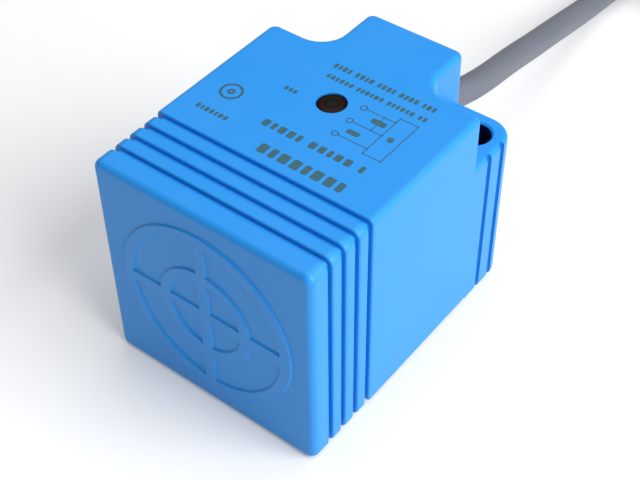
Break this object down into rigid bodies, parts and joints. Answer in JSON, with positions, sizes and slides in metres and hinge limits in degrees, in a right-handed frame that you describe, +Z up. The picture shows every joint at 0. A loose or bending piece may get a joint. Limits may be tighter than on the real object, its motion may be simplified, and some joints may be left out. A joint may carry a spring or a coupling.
{
  "type": "inductive proximity sensor",
  "caption": "Block-shaped inductive proximity sensor with a ribbed sensing end, rear cable boss, two vertical mounting holes and a tied lead.",
  "frame": {"origin": "bottom centre of the sensor block, without its cable", "axes": "-Y is the sensing direction, +Y the cable side, +X the width, +Z up through the mounting holes"},
  "size_m": [0.0597, 0.2242, 0.04],
  "materials": {
    "housing_blue": "moulded PBT, fine satin texture",
    "face_blue": "moulded PBT, fine satin texture",
    "window_smoke": "smoked red light pipe",
    "ferrite": "sintered ferrite, dark grey",
    "bobbin_nylon": "natural nylon",
    "enamelled_copper": "enamelled copper wire",
    "shield_brass": "thin rolled brass",
    "black_plastic": "black moulded plastic",
    "board_green": "solder-masked glass epoxy",
    "chip_black": "moulded epoxy package",
    "can_aluminium": "drawn aluminium can",
    "ceramic_tan": "fired ceramic",
    "tinned_metal": "tinned copper",
    "led_red": "red tinted epoxy",
    "resin_dark": "cast epoxy resin",
    "bush_grey": "soft grey PVC",
    "clamp_nylon": "natural nylon",
    "jacket_grey": "grey PVC cable jacket, satin",
    "wire_brown": "brown PVC insulation",
    "wire_blue": "blue PVC insulation",
    "wire_black": "black PVC insulation",
    "tie_black": "black nylon cable tie"
  },
  "bodies": {
    "root": {"housing_shell": "housing_blue", "sensing_face_cap": "face_blue", "base_cover": "housing_blue", "indicator_window": "window_smoke", "shield_ring": "shield_brass", "ferrite_pot_core": "ferrite", "coil_bobbin": "bobbin_nylon", "coil_winding": "enamelled_copper", "coil_lead_start": "enamelled_copper", "coil_lead_end": "enamelled_copper", "core_carrier": "black_plastic", "circuit_board": "board_green", "oscillator_ic": "chip_black", "output_transistor": "chip_black", "supply_capacitor": "can_aluminium", "tuning_capacitor": "ceramic_tan", "output_diode": "chip_black", "surge_diode": "chip_black", "output_filter_capacitor": "ceramic_tan", "resistor_1": "chip_black", "resistor_2": "chip_black", "resistor_3": "chip_black", "resistor_4": "chip_black", "indicator_led": "led_red", "led_leg_anode": "tinned_metal", "led_leg_cathode": "tinned_metal", "resin_fill": "resin_dark", "cable_bush": "bush_grey", "cable_clamp": "clamp_nylon", "cable_inner_end": "jacket_grey", "inner_wire_brown": "wire_brown", "inner_wire_blue": "wire_blue", "inner_wire_black": "wire_black", "cable_run": "jacket_grey", "cable_hank": "jacket_grey", "cable_tail": "jacket_grey", "cable_tie_1": "tie_black", "cable_tie_2": "tie_black", "wire_brown": "wire_brown", "wire_tip_brown": "tinned_metal", "wire_blue": "wire_blue", "wire_tip_blue": "tinned_metal", "wire_black": "wire_black", "wire_tip_black": "tinned_metal"}
  },
  "joints": []
}
